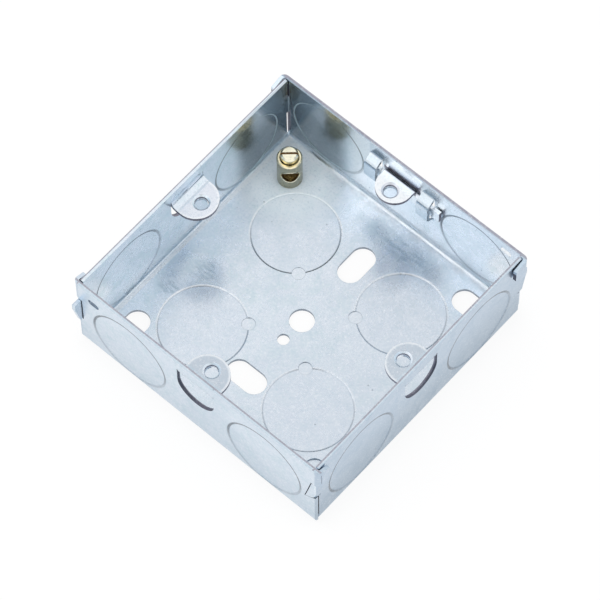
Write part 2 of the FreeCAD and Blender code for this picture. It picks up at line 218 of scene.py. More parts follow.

# Galvanised sheet: pale blue zinc with faint clouds and crystals, sandy grain and dark sheared edges, and
# painted light and shade among its colours
zinc = {
    "pale": colour(0.785, 0.865, 0.945),
    "cloud": colour(0.715, 0.805, 0.89),
    # real smears, and painted shade at the left wall's foot, the lugs' roots, the straps' fronts and the near
    # rims
    "smearAndShade": colour(0.52, 0.635, 0.73),
    # painted shade across the base, deeper towards +X
    "paintedBaseShade": colour(0.56, 0.62, 0.70),
    # powder near the post, painted paler as light
    "powderAndPaintedLight": colour(0.84, 0.95, 1.0),
    # real teal mottle, and rim lines painted lighter as highlight in the corner shade
    "tealAndHighlight": colour(0.66, 0.80, 0.86),
    "lavender": colour(0.79, 0.835, 0.93),
    # real crystals and grain, and painted highlights
    "crystalAndHighlight": colour(0.94, 0.97, 1.0),
    "disc": colour(0.735, 0.805, 0.905),
    "rubbed": colour(0.76, 0.795, 0.875),      # sliding lug and the lug on the left wall
    "lugFace": colour(0.50, 0.565, 0.645),     # the other two lugs
    "sheared": colour(0.30, 0.28, 0.34),       # bare steel of the cut edges
    "windowShade": colour(0.12, 0.13, 0.17),        # painted shade on the outer part of the windows' cut edges
    # painted shade in the -Y wall's small slot
    "slotShade": colour(0.22, 0.28, 0.37),
    # painted line of shade along the rim's far edge
    "rimShadeLine": colour(0.30, 0.27, 0.33),
    "line": colour(0.11, 0.14, 0.18),
    "holeEdgeShade": colour(0.16, 0.20, 0.26),      # cut faces round the holes of the base: bare steel, painted darker as shade
    "shaded": colour(0.43, 0.535, 0.66),       # painted shade on the outer faces and over the straps' rim
    # painted deeper shade at the outer faces' foot and on the straps' rim towards the open corner
    "deepShade": colour(0.29, 0.375, 0.46),
    # painted shade in the open corner, deepening the walls' reflection of an unlit place
    "paintedCornerShade": colour(0.21, 0.265, 0.31),
    "speck": colour(0.28, 0.33, 0.38),
    # painted dark reflections of the lugs on the base
    "lugReflection": colour(0.36, 0.49, 0.58),
    "floorRoughness": (0.22, 0.31),            # smoothest and roughest
    "wallRoughness": (0.23, 0.31),
    "postRoughness": 0.30,                     # added on the base round the post
    "cornerRoughness": -0.11,                  # and round the open corner
    "outerRoughness": 0.06,
    "strapFootRoughness": 0.2,
    "discLineRoughness": 0.35,
    "cutRoughness": 0.25,
    "flakeRoughness": 0.03,
    "postPowder": 0.85,                        # share of powdery, unmetallic zinc round the post
    "linePowder": 0.65,                        # and on the bright lines
    "clouds": (0.07, 5.0, 0.6, 0.6),           # noises: scale, detail, roughness and distortion
    "smears": (0.13, 4.0, 0.6, 0.4),
    "mottle": (0.34, 5.0, 0.68, 0.3),
    "grain": (1.9, 3.0, 0.72),
    "broken": (0.5, 4.0, 0.7),
    "scratches": (0.9, 2.0, 0.5),
    "smearStretch": ((0.4, 1.5, 0.4), -40.0),
    "brokenStretch": ((0.5, 2.0, 2.0), 0.0),
    "scratchStretch": ((6.0, 0.25, 0.25), 48.0),
    "crystalScale": 0.45,
    "pitScale": 0.4,
    "pitEdge": (0.05, 0.11, 1.0, 0.0),
    "pitsLeftOut": 0.86,
    "cloudFade": (0.42, 0.66),
    "underLayers": [("smears", (0.56, 0.74, 0.0, 0.35), "smearAndShade"),      # noise, fade by it, and colour
                    ("mottle", (0.46, 0.66, 0.0, 0.75), "tealAndHighlight"),
                    ("mottle", (0.32, 0.5, 0.5, 0.0), "lavender")],
    "overLayers": [("grain", (0.5, 0.76, 0.0, 0.65), "smearAndShade"),
                   ("grain", (0.26, 0.5, 0.4, 0.0), "crystalAndHighlight")],
    "flakeShare": 0.1,
    "speckShare": 0.6,
    "cutFade": (0.3, 0.6, 0.75, 1.0),          # by grain
    "roughParts": (0.8, 0.5),                  # of mottle and clouds
    "roughFade": (0.5, 0.8),
    "reliefParts": (0.4, 3.0),                 # of scratches and clouds
    "bumpStrength": 0.15,
    "bumpHeight": 0.012,                       # millimetres
    "wear": 0.1,
}

# Where the marks on the box fade: two places in millimetres, and the levels there where they aren't 0 and 1
fades = {
    "fold": (1.0, 2.5),                        # height at which the base turns into the walls
    "cornerShadeReach": (15.0, 20.5, 1.0, 0.0),      # from the open corner: reach of the painted corner shade
    "smoothCorner": (24.0, 46.0, 1.0, 0.0),
    "brightStart": (18.0, 22.0),
    "brightEnd": (24.0, 40.0, 1.0, 0.4),
    "strapRim": (12.0, 34.0, 0.7, 0.0),
    "nearPost": (7.0, 17.0, 1.0, 0.0),         # from the post
    "outerSkin": (0.35, 0.15),                 # depths below the outer face
    "strapFootDepth": (2.6, 1.6),              # and from the wall
    "outerFoot": (1.0, 22.0),                  # heights
    "cornerHeight": (12.0, 23.0, 0.93, 0.32),
    "leftFoot": (2.2, 3.4, 0.8, 0.0),
    "strapFoot": (2.2, 4.0, 1.0, 0.0),
    "strapFront": (15.0, 21.0, 0.9, 0.45),
    "paintedBaseShade": (-20.0, 24.0, 0.35, 0.6),     # along X: painted shade across the base
    "windowY": (-7.0, 8.0, 0.95, 0.3),
    "windowX": (-8.0, 7.0, 0.4, 0.95),         # along Y
    "lugRim": (4.6, 5.1),                      # from the middle of the round end
    "strapTop": (0.1, 0.5),                    # by the face's upward part
    "brokenFoot": (0.35, 0.65),                # by noise
    "brokenLugReflection": (0.42, 0.58),
    "lugReflectionEdge": (0.4, 1.1, 1.0, 0.0),         # by share of the painted reflection's reach
}

# Strength of the marks that are even
shares = {
    "brightRim": 0.95,
    "tieRim": 0.15,
    "wallRim": 0.95,
    "cornerRim": 0.9,
    "strapFoot": 0.6,
    "lugReflection": 0.85,
    "powderAndPaintedLight": 0.6,
    "leftLug": 0.85,
    "otherLugs": 0.9,
    "lugRim": 0.6,
    "lugRoot": 0.6,
    "strapTop": 0.4,
    "strapRim": 0.85,
    "nearRim": 0.6,
    "rimShadeLine": 0.8,
    "sliderFoot": 0.7,
}

# Painted shade on the outer faces: over all and at the foot, for +X -X -Y +Y
shadedOuter = ((0.85, 0.75), (0.45, 0.3), (0.30, 0.22), (0.35, 0.3))

# Painted dark reflections of the lugs on the base: middle, reach and turn
lugReflections = [
    ((-28.5, -13.5), (3.2, 2.3), 42.0),
    ((-24.8, -4.8), (4.4, 3.0), 42.0),
    ((5.0, 29.0), (9.5, 3.4), 0.0),
]


# Marks of the discs: on the base, painted highlights on the far edges and dark lines, darker on the near
# edges as painted shade; on the walls, fine dark lines painted darker on the upper arcs, and inside the
# painted corner shade, lines painted lighter as highlight
def knockoutTints(bench, x, y, z, cornerShadeZone):
    sideX, sideY = bench.size(x), bench.size(y)
    onBase = bench.between(z, *box["baseTop"])
    u = bench.maths("SUBTRACT", sideX, knockouts["floorOffset"])
    v = bench.maths("SUBTRACT", sideY, knockouts["floorOffset"])
    reach = bench.reach(u, v)
    signedU = bench.product(u, bench.maths("SIGN", x))
    signedV = bench.product(v, bench.maths("SIGN", y))
    far = bench.maths("DIVIDE", bench.maths("SUBTRACT", signedV, signedU), knockouts["radius"] * math.sqrt(2))
    tie = bench.reachFrom(sideX, sideY, (knockouts["tieOffset"], knockouts["tieOffset"]))
    offTie = bench.above(tie, knockouts["tieRadius"])
    # painted highlight on the far edges
    bright = bench.product(bench.line(reach, *knockouts["brightRim"]),
                           bench.fade(far, *knockouts["brightPart"]), onBase, offTie)
    # dark lines, painted darker on the near edges as shade
    dark = bench.product(bench.line(reach, *knockouts["darkRim"]),
                         bench.fade(far, *knockouts["darkPart"]), onBase, offTie)
    tints = [(bench.product(bench.fade(reach, *knockouts["discEdge"]), onBase), "disc"),
             (dark, "line"),
             (bench.product(bright, shares["brightRim"]), "crystalAndHighlight"),
             (bench.product(bench.fade(tie, *knockouts["tieEdge"]), onBase), "crystalAndHighlight"),
             (bench.product(bench.line(tie, *knockouts["tieRim"]), onBase, shares["tieRim"]), "line")]
    onWallX = bench.above(sideX, innerX - 0.1)
    onWallY = bench.above(sideY, innerY - 0.1)
    onStrapWall = bench.above(y, 0.0)
    offset, height = [bench.maths("MULTIPLY_ADD", onStrapWall, knockouts["strapWall" + name]
                                  - knockouts["wall" + name], knockouts["wall" + name])
                      for name in ("Offset", "Height")]
    walls = [(sideY, y, knockouts["wallOffset"], knockouts["wallHeight"], onWallX, knockouts["wallLean"]),
             (sideX, x, offset, height, onWallY, 0.0)]
    lines, rims = [], []
    for across, signed, middle, level, here, lean in walls:
        u = bench.maths("SUBTRACT", across, middle)
        v = bench.maths("SUBTRACT", z, level)
        reach = bench.reach(u, v)
        signedU = bench.product(u, bench.maths("SIGN", signed))
        upper = bench.maths("DIVIDE", bench.maths("MULTIPLY_ADD", signedU, lean, v), reach)
        # dark lines, painted darker on the upper arcs as shade
        lines.append(bench.product(bench.line(reach, *knockouts["wallRim"]), here,
                                   bench.fade(upper, *knockouts["wallPart"])))
        rims.append(bench.product(bench.line(reach, *knockouts["cornerRim"]), here))
    rim = bench.largest(*rims)
    # in the painted corner shade the lines are painted lighter as highlight
    wallLine = bench.product(bench.largest(*lines), bench.opposite(cornerShadeZone), shares["wallRim"])
    cornerLine = bench.product(rim, cornerShadeZone)
    tints += [(wallLine, "line"), (bench.product(cornerLine, shares["cornerRim"]), "tealAndHighlight")]
    return tints, cornerLine, bright, rim


# Fine painted lines of shade along the rim's far edge, inside on the near walls and outside on the far ones:
# place and half width
rimShadeLines = {
    "nearX": (innerX + 0.15, 0.34),
    "nearY": (innerY + 0.15, 0.34),
    "farX": (box["halfX"] - 0.1, 0.24),
    "farY": (box["halfY"] - 0.25, 0.5),
}


def rimShadeLine(bench, x, y):
    minusX, minusY = bench.maths("MULTIPLY", x, -1.0), bench.maths("MULTIPLY", y, -1.0)
    places = ((x, "nearX"), (minusY, "nearY"), (minusX, "farX"), (y, "farY"))
    return bench.largest(*[bench.line(place, *rimShadeLines[name]) for place, name in places])


# One in the middle of a painted reflection of a lug on the base, none at its edge
def lugReflectionMask(bench, x, y, middle, reaches, turn):
    alongX, alongY = math.cos(math.radians(turn)), math.sin(math.radians(turn))
    u = bench.maths("MULTIPLY_ADD", y, alongY, -middle[0] * alongX - middle[1] * alongY)
    u = bench.maths("MULTIPLY_ADD", x, alongX, u)
    v = bench.maths("MULTIPLY_ADD", y, alongX, middle[0] * alongY - middle[1] * alongX)
    v = bench.maths("MULTIPLY_ADD", x, -alongY, v)
    reach = bench.reach(bench.maths("DIVIDE", u, reaches[0]), bench.maths("DIVIDE", v, reaches[1]))
    return bench.fade(reach, *fades["lugReflectionEdge"])


# What changes from place to place on the box: colours with painted light and shade, cut edges, painted shade
# on the windows' edges, powder and roughness.
# The small amounts beside its places keep a mask clear of the next face
def boxLayout(bench, point, normal):
    x, y, z = bench.parts(point)
    sideX, sideY = bench.size(x), bench.size(y)
    further = bench.maths("MAXIMUM", sideX, sideY)
    upright = bench.fade(z, *fades["fold"])
    normalX, normalY, normalZ = bench.parts(normal)
    edgeX, edgeY, edgeZ = [bench.below(bench.size(part), box["steep"])
                           for part in (normalX, normalY, normalZ)]
    fromCorner = bench.reachFrom(x, y, box["openCorner"])
    cornerShadeZone = bench.fade(fromCorner, *fades["cornerShadeReach"])
    smoothWall = bench.product(bench.fade(fromCorner, *fades["smoothCorner"]), upright)
    onBase = bench.between(z, *box["baseTop"])
    nearPost = bench.product(bench.fade(bench.reachFrom(x, y, box["post"]), *fades["nearPost"]), onBase)
    inside = bench.product(bench.below(sideX, innerX + 0.1), bench.below(sideY, innerY + 0.1))
    innerFaces = bench.product(bench.below(sideX, innerX + 0.5), bench.below(sideY, innerY + 0.5))
    tints = []

    def mark(tint, *masks):
        tints.append((bench.product(*masks), tint))

    # Outer faces painted in shade, darker towards the foot
    places = (x, bench.maths("MULTIPLY", x, -1.0), bench.maths("MULTIPLY", y, -1.0), y)
    halves = (box["halfX"], box["halfX"], box["halfY"], box["halfY"])
    outer = 0.0
    for place, half, (overall, foot) in zip(places, halves, shadedOuter):
        out = bench.fade(place, *[half - depth for depth in fades["outerSkin"]])
        outer = bench.largest(out, outer)
        mark("shaded", out, overall)
        mark("deepShade", out, bench.fade(z, *fades["outerFoot"], foot, 0.0))

    # Painted shade in the open corner, deepening the walls' reflection of an unlit place, a painted
    # reflection of light on the wall beside it, and painted shade and highlights along the base's folds
    mark("paintedCornerShade", cornerShadeZone, upright, innerFaces, bench.fade(z, *fades["cornerHeight"]))
    # painted reflection of light on the +Y wall beside the corner shade
    paintedLightWall = bench.product(bench.fade(fromCorner, *fades["brightStart"]), bench.above(y, innerY - 0.1),
                               innerFaces, upright)
    mark("crystalAndHighlight", paintedLightWall, bench.fade(fromCorner, *fades["brightEnd"]))
    # painted shade along the foot of the left wall
    mark("smearAndShade", bench.below(x, -innerX + 0.3), inside, bench.fade(z, *fades["leftFoot"]))
    foldHighlight = bench.product(bench.line(x, box["foldHighlight"][0] - innerX, box["foldHighlight"][1]), inside,
                             bench.below(z, box["foldTop"]))
    mark("crystalAndHighlight", foldHighlight)
    broken = bench.noise(bench.stretched(point, *zinc["brokenStretch"]), *zinc["broken"])
    # painted highlight in a broken band along the foot of the +Y wall
    strapFoot = bench.product(bench.fade(y, *[innerY - depth for depth in fades["strapFootDepth"]]), inside,
                              bench.fade(z, *fades["strapFoot"]), bench.fade(broken, *fades["brokenFoot"]))
    mark("crystalAndHighlight", strapFoot, shares["strapFoot"])

    # Painted dark reflections of the lugs, marks of the discs, painted shade across the base, and powder near
    # the post painted paler as light
    for lugReflection in lugReflections:
        mark("lugReflection", lugReflectionMask(bench, x, y, *lugReflection), bench.between(z, box["baseTop"][0], box["foldTop"]),
             bench.fade(broken, *fades["brokenLugReflection"]), shares["lugReflection"])
    discTints, cornerLine, farEdge, discEdge = knockoutTints(bench, x, y, z, cornerShadeZone)
    tints += discTints
    mark("paintedBaseShade", bench.fade(x, *fades["paintedBaseShade"]), bench.opposite(nearPost),
         bench.below(z, box["baseTop"][1]))
    mark("powderAndPaintedLight", nearPost, shares["powderAndPaintedLight"])

    # Lugs and straps: lug tops in their own tones, painted highlights on the lugs' round ends and on the
    # straps' upward faces, painted shade at the lugs' roots and on the straps' fronts, darker lower down
    nearMiddle = bench.below(bench.maths("MINIMUM", sideX, sideY), box["lugHalfWidth"])
    inWalls = bench.below(further, innerX + 0.2)
    lugPlate = bench.product(nearMiddle, inWalls, bench.between(z, *box["lugFaces"]))
    onLug = bench.product(lugPlate, bench.above(normalZ, box["flat"]))
    leftLug = bench.below(x, -20.0)
    mark("rubbed", onLug, leftLug, shares["leftLug"])
    mark("lugFace", onLug, bench.opposite(leftLug), shares["otherLugs"])
    lugReach = bench.maths("MINIMUM", bench.reachFrom(sideX, y, (box["lugMiddle"], 0.0)),
                           bench.reachFrom(x, y, (0.0, -box["lugMiddle"])))
    mark("crystalAndHighlight", onLug, bench.fade(lugReach, *fades["lugRim"]), shares["lugRim"])
    mark("smearAndShade", nearMiddle, bench.line(further, *box["lugRoot"]),
         bench.between(z, box["lugFaces"][0], box["lugBendTop"]), shares["lugRoot"])
    strapSide = bench.between(sideX, *box["straps"])
    onStrap = bench.product(strapSide, bench.above(y, box["strapFace"]), bench.below(y, innerY + 0.05),
                            bench.above(z, box["strapFoot"]))
    mark("crystalAndHighlight", onStrap, bench.fade(normalZ, *fades["strapTop"]), shares["strapTop"])
    mark("smearAndShade", onStrap, bench.below(normalY, -box["slanted"]), bench.fade(z, *fades["strapFront"]))

    # Cut edges, but not of the straps and the small slots. The small slots get a painted highlight on their
    # upward faces in the +Y wall and painted shade in the -Y wall, and the cut faces round the base's holes
    # get painted shade
    wallX = bench.product(bench.above(sideX, innerX - 0.05), bench.below(sideY, innerY + 0.02), edgeX)
    wallY = bench.product(bench.above(sideY, innerY - 0.05), bench.below(sideX, innerX), edgeY,
                          bench.opposite(bench.product(strapSide, bench.above(y, 0.0))))
    keySlot = bench.product(bench.above(sideX, box["keySlots"][0]), bench.between(z, *box["keySlots"][1:]),
                            bench.above(sideY, innerY - 0.05), edgeY)
    walls = bench.product(bench.largest(wallX, wallY), bench.opposite(keySlot), bench.opposite(discEdge),
                          bench.between(z, box["strapWallFootBend"], box["rim"] - 0.8))
    mark("crystalAndHighlight", keySlot, bench.above(normalZ, box["slanted"]), bench.above(y, 0.0))
    mark("slotShade", keySlot, bench.below(y, 0.0))
    mark("holeEdgeShade", bench.below(sideX, innerX - 0.6), bench.below(sideY, innerY - 0.6),
         bench.between(z, 0.02, box["sheet"] - 0.05), edgeZ)
    cut = bench.largest(walls, bench.product(lugPlate, edgeZ))

    # Rim: painted shade over the straps, deeper towards the open corner, and on the near walls, with a
    # painted line of shade along its far edge
    onRim = bench.product(bench.above(normalZ, box["steep"]), bench.above(z, box["rim"]))
    strapRim = bench.product(onRim, bench.above(y, innerY - 0.05))
    nearRim = bench.largest(bench.above(x, innerX - 0.05), bench.below(y, 0.05 - innerY))
    mark("shaded", strapRim, shares["strapRim"])
    mark("deepShade", strapRim, bench.fade(fromCorner, *fades["strapRim"]))
    mark("smearAndShade", onRim, nearRim, shares["nearRim"])
    mark("rimShadeLine", rimShadeLine(bench, x, y), onRim, shares["rimShadeLine"])

    # Painted shade on the outer part of the windows' edges, darkest at one end
    outerPart = bench.product(bench.fade(further, innerX + 0.25, innerX + 0.5), walls)
    windowShadeMask = bench.largest(bench.product(wallY, bench.fade(x, *fades["windowY"])),
                               bench.product(wallX, bench.fade(y, *fades["windowX"])))
    powder = bench.largest(bench.product(nearPost, zinc["postPowder"]),
                           bench.product(bench.largest(farEdge, foldHighlight), zinc["linePowder"]))
    rough = []
    for floor, wall in zip(zinc["floorRoughness"], zinc["wallRoughness"]):
        level = bench.fade(upright, 0.0, 1.0, floor, wall)
        for mask, name in ((smoothWall, "corner"), (nearPost, "post"), (outer, "outer"),
                           (strapFoot, "strapFoot"), (cornerLine, "discLine")):
            level = bench.maths("MULTIPLY_ADD", mask, zinc[name + "Roughness"], level)
        rough.append(level)
    return tints, cut, bench.product(outerPart, windowShadeMask), powder, rough


# The same for the sliding lug, which is rubbed all over and has no shaded window edges or powder; its upward
# faces get a painted highlight and the strip below is painted paler
def sliderLayout(bench, point, normal):
    x, y, z = bench.parts(point)
    normalX, normalY, normalZ = bench.parts(normal)
    lugEdge = bench.product(bench.between(z, box["lugFaces"][0], box["sliderTop"]),
                            bench.below(bench.size(normalZ), box["steep"]), bench.below(y, box["sliderBend"]))
    ends = bench.above(bench.size(normalX), box["flat"])
    tints = [(bench.above(z, box["lugFaces"][0]), "rubbed"),
             # painted highlight on the upward faces
             (bench.above(normalZ, box["flat"]), "crystalAndHighlight"),
             (bench.product(bench.below(z, box["lugFaces"][0]), shares["sliderFoot"]), "crystalAndHighlight")]
    return tints, bench.largest(lugEdge, ends), None, None, zinc["wallRoughness"]


def zincMaterial(name, layout):
    material, bench, shader = blankMaterial(name)
    point = bench.millimetres()
    clouds = bench.noise(point, *zinc["clouds"])
    smears = bench.noise(bench.stretched(point, *zinc["smearStretch"]), *zinc["smears"])
    mottle = bench.noise(point, *zinc["mottle"])
    grain = bench.noise(point, *zinc["grain"])
    crystals = bench.add("ShaderNodeTexVoronoi", Vector=point, Scale=zinc["crystalScale"]).outputs
    flake = bench.add("ShaderNodeSeparateColor", Color=crystals["Color"]).outputs[0]
    pits = bench.add("ShaderNodeTexVoronoi", Vector=point, Scale=zinc["pitScale"]).outputs
    pitted = bench.add("ShaderNodeSeparateColor", Color=pits["Color"]).outputs[1]
    speck = bench.product(bench.fade(pits["Distance"], *zinc["pitEdge"]),
                          bench.above(pitted, zinc["pitsLeftOut"]))
    tints, cut, dark, powder, (smoothest, roughest) = layout(bench, point, bench.faceNormal())

    # Clouds first, then the marks with their painted light and shade, then grain, crystals, pits and cut
    # edges over all, and last the painted shade on the windows' edges
    fields = {"smears": smears, "mottle": mottle, "grain": grain}
    under, over = [[(bench.fade(fields[field], *fade), tint) for field, fade, tint in zinc[name]]
                   for name in ("underLayers", "overLayers")]
    layers = under + tints + over
    layers += [(bench.product(flake, zinc["flakeShare"]), "crystalAndHighlight"),
               (bench.product(speck, zinc["speckShare"]), "speck"),
               (bench.product(cut, bench.fade(grain, *zinc["cutFade"])), "sheared")]
    # painted shade on the outer part of the windows' edges
    if dark:
        layers.append((dark, "windowShade"))
    tone = bench.mix(bench.fade(clouds, *zinc["cloudFade"]), zinc["pale"], zinc["cloud"])
    for mask, tint in layers:
        tone = bench.mix(mask, tone, zinc[tint])
    bench.put(shader.inputs["Base Color"], tone)
    bench.put(shader.inputs["Metallic"], bench.opposite(powder) if powder else 1.0)

    mottlePart, cloudPart = zinc["roughParts"]
    patchy = bench.maths("MULTIPLY_ADD", mottle, mottlePart, bench.product(clouds, cloudPart))
    patchy = bench.fade(patchy, *zinc["roughFade"])
    rough = bench.maths("MULTIPLY_ADD", patchy, bench.maths("SUBTRACT", roughest, smoothest), smoothest)
    rough = bench.maths("MULTIPLY_ADD", flake, zinc["flakeRoughness"], rough)
    rough = bench.maths("MULTIPLY_ADD", cut, zinc["cutRoughness"], rough)
    bench.put(shader.inputs["Roughness"], rough)

    scratches = bench.noise(bench.stretched(point, *zinc["scratchStretch"]), *zinc["scratches"])
    scratchPart, cloudPart = zinc["reliefParts"]
    relief = bench.maths("MULTIPLY_ADD", scratches, scratchPart, grain)
    relief = bench.maths("MULTIPLY_ADD", clouds, cloudPart, relief)
    worn = bench.wornRelief(relief, zinc["bumpStrength"], zinc["bumpHeight"], zinc["wear"])
    bench.put(shader.inputs["Normal"], worn)
    return material


# Turned brass of the earth terminal: tops painted pale gold as light, sides painted darker as shade, hollows
# painted dark as shade, with lathe lines
brass = {
    "screwTopLit": colour(1.0, 0.96, 0.76),
    "postTopLit": colour(1.0, 0.90, 0.62),
    "dull": colour(0.62, 0.52, 0.28),
    "screwSideShaded": colour(0.90, 0.80, 0.50),
    "postSideShaded": colour(0.34, 0.33, 0.25),
    # painted shade in the screw's slot and inside the post
    "hollowShade": colour(0.52, 0.39, 0.21),
    "topFade": (0.2, 0.6),               # by the face's upward part: tops painted lit, sides painted shaded
    "patchFade": (0.5, 0.75, 0.0, 0.3),  # by noise
    "fineFade": (0.55, 0.8, 0.0, 0.3),
    "roughness": (0.3, 0.8, 0.18, 0.36),
    "patches": (0.55, 4.0, 0.6, 0.5),    # noises: scale, detail, roughness and distortion
    "fine": (4.0, 3.0, 0.6),
    "latheLines": 7.0,                   # to a millimetre
    "latheShare": 0.4,
    "bumpStrength": 0.3,
    "bumpHeight": 0.012,                 # millimetres
    "wear": 0.1,
    "postRadius": 3.0,
    "postTopHeight": 10.4,
    "hollowFrom": 8.5,
    "slotAngle": 42.0,
    "slotHalfWidth": 0.27,
    "slotFrom": 12.25,                   # top of the screw's slot, just below its face
    "slotDepth": 1.1,
}


# Painted shade in the screw's slot and inside the post
def screwSlotShade(bench, x, y, z):
    turn = math.radians(brass["slotAngle"])
    acrossX = bench.product(bench.maths("SUBTRACT", x, box["post"][0]), -math.sin(turn))
    fromPostY = bench.maths("SUBTRACT", y, box["post"][1])
    across = bench.maths("MULTIPLY_ADD", fromPostY, math.cos(turn), acrossX)
    return bench.product(bench.below(bench.size(across), brass["slotHalfWidth"]),
                         bench.below(z, brass["slotFrom"]),
                         bench.above(z, brass["slotFrom"] - brass["slotDepth"]))


def postHollowShade(bench, x, y, z):
    reach = bench.reachFrom(x, y, box["post"])
    return bench.product(bench.below(reach, brass["postRadius"] - 0.06),
                         bench.fade(z, brass["hollowFrom"], brass["postTopHeight"] - 0.02, 1.0, 0.0))


def brassMaterial(name, top, side, hollowShade):
    material, bench, shader = blankMaterial(name)
    point = bench.millimetres()
    x, y, z = bench.parts(point)
    patches = bench.noise(point, *brass["patches"])
    fine = bench.noise(point, *brass["fine"])
    upward = bench.parts(bench.faceNormal())[2]
    # tops painted paler as light and sides darker as shade
    tone = bench.mix(bench.fade(upward, *brass["topFade"]), brass[side], brass[top])
    tone = bench.mix(bench.fade(patches, *brass["patchFade"]), tone, brass["dull"])
    tone = bench.mix(bench.fade(fine, *brass["fineFade"]), tone, brass["dull"])
    # hollows painted dark as shade
    tone = bench.mix(hollowShade(bench, x, y, z), tone, brass["hollowShade"])
    bench.put(shader.inputs["Base Color"], tone)
    shader.inputs["Metallic"].default_value = 1.0
    bench.put(shader.inputs["Roughness"], bench.fade(patches, *brass["roughness"]))
    lathe = bench.maths("SINE", bench.product(z, brass["latheLines"] * 2 * math.pi))
    relief = bench.maths("MULTIPLY_ADD", lathe, brass["latheShare"], fine)
    worn = bench.wornRelief(relief, brass["bumpStrength"], brass["bumpHeight"], brass["wear"])
    bench.put(shader.inputs["Normal"], worn)
    return material


# Dark torn steel of the shear lines
torn = {
    "dark": colour(0.26, 0.29, 0.33),
    "light": colour(0.50, 0.55, 0.61),
    "ragged": (3.0, 3.0, 0.6),           # noise: scale, detail and roughness
    "toneFade": (0.35, 0.7),             # by noise
    "roughness": (0.3, 0.7, 0.4, 0.6),
}


def shearLineMaterial():
    material, bench, shader = blankMaterial("shearedSteel")
    ragged = bench.noise(bench.millimetres(), *torn["ragged"])
    tone = bench.mix(bench.fade(ragged, *torn["toneFade"]), torn["dark"], torn["light"])
    bench.put(shader.inputs["Base Color"], tone)
    shader.inputs["Metallic"].default_value = 1.0
    bench.put(shader.inputs["Roughness"], bench.fade(ragged, *torn["roughness"]))
    return material


def paint(node, material):
    nodes[node].data.materials.clear()
    nodes[node].data.materials.append(material)


boxZinc = zincMaterial("galvanisedBox", boxLayout)
lugZinc = zincMaterial("galvanisedLug", sliderLayout)
postBrass = brassMaterial("postBrass", "postTopLit", "postSideShaded", postHollowShade)
screwBrass = brassMaterial("screwBrass", "screwTopLit", "screwSideShaded", screwSlotShade)
shearedSteel = shearLineMaterial()
paint("box_body", boxZinc)
paint("adjustable_lug", lugZinc)
paint("earth_terminal_post", postBrass)
paint("earth_terminal_screw", screwBrass)
print("finishes painted on", len(nodes), "solids")


# Thin ridge that follows points, standing on a face: three-sided section
def addRidge(work, points, outwards, sideways, width, height, closed):
    rings = []
    for point, out, side in zip(points, outwards, sideways):
        rings.append([work.verts.new(point - side * (width / 2) - out * (height / 2)),
                      work.verts.new(point + out * height),
                      work.verts.new(point + side * (width / 2) - out * (height / 2))])
    pairs = list(zip(rings, rings[1:]))
    if closed:
        pairs.append((rings[-1], rings[0]))
    for here, there in pairs:
        for first, second in ((0, 1), (1, 2), (2, 0)):
            work.faces.new((here[first], there[first], there[second], here[second]))
    if not closed:
        work.faces.new(rings[0])
        work.faces.new(list(reversed(rings[-1])))


def finishedPiece(name, work, material, body):
    bmesh.ops.recalc_face_normals(work, faces=work.faces)
    mesh = bpy.data.meshes.new(name)
    work.to_mesh(mesh)
    work.free()
    piece = bpy.data.objects.new(name, mesh)
    bpy.context.scene.collection.objects.link(piece)
    mesh.materials.append(material)
    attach(piece, body)


# Arc of points round a middle, in the plane of two directions
def arcPoints(middle, across, along, radius, start, end, steps):
    points, sides = [], []
    for step in range(steps):
        angle = start + (end - start) * step / (steps - 1)
        side = across * math.cos(angle) + along * math.sin(angle)
        points.append(middle + side * radius)
        sides.append(side)
    return points, sides


# Shear lines of the knockouts on the faces where the disc lies flush, open at the tie
def makeShearLines():
    work = bmesh.new()
    up = Vector((0, 0, 1))
    faces = []
    for signX in (1, -1):
        for signY in (1, -1):
            middle = Vector((signX * knockouts["floorOffset"], signY * knockouts["floorOffset"], 0))
            faces.append((middle, Vector((0, 0, -1)), Vector((-signX, 0, 0)), Vector((0, -signY, 0))))
    plainWall, strapWall = [(knockouts[name + "Offset"], knockouts[name + "Height"])
                            for name in ("wall", "strapWall")]
    walls = [(Vector((innerX, 0, 0)), Vector((-1, 0, 0)), Vector((0, 1, 0)), plainWall),
             (Vector((-box["halfX"], 0, 0)), Vector((-1, 0, 0)), Vector((0, 1, 0)), plainWall),
             (Vector((0, -innerY, 0)), Vector((0, 1, 0)), Vector((1, 0, 0)), plainWall),
             (Vector((0, box["halfY"], 0)), Vector((0, 1, 0)), Vector((1, 0, 0)), strapWall)]
    for face, outwards, sideways, (offset, height) in walls:
        for sign in (1, -1):
            faces.append((face + sideways * sign * offset + up * height, outwards, sideways * -sign, -up))
    tieTurn = math.radians(knockouts["tieAngle"])
    tieHalf = math.asin(knockouts["tieRadius"] / knockouts["radius"])
    for middle, outwards, across, along in faces:
        points, sides = arcPoints(middle, across, along, knockouts["radius"], tieTurn + tieHalf,
                                  tieTurn - tieHalf + 2 * math.pi, knockouts["steps"])
        addRidge(work, [point * mm for point in points], [outwards] * len(points), sides,
                 knockouts["lineWidth"] * mm, knockouts["lineHeight"] * mm, False)
    finishedPiece("knockoutShearLines", work, shearedSteel, "box")


# Drawn and tapped collars under the lugs' screw holes
collars = {
    "fixed": [(30.15, 0.0), (-30.15, 0.0), (0.0, -30.15)],
    "sliding": [(0.0, 30.5)],
    "top": 19.9,                 # underside of the lugs
    "height": 1.0,
    "boreRadius": 1.66,
    "threadDepth": 0.12,
    "threads": 2,
    "outerRadius": (2.45, 2.15),
    "chamfer": 0.1,
    "steps": 48,
}


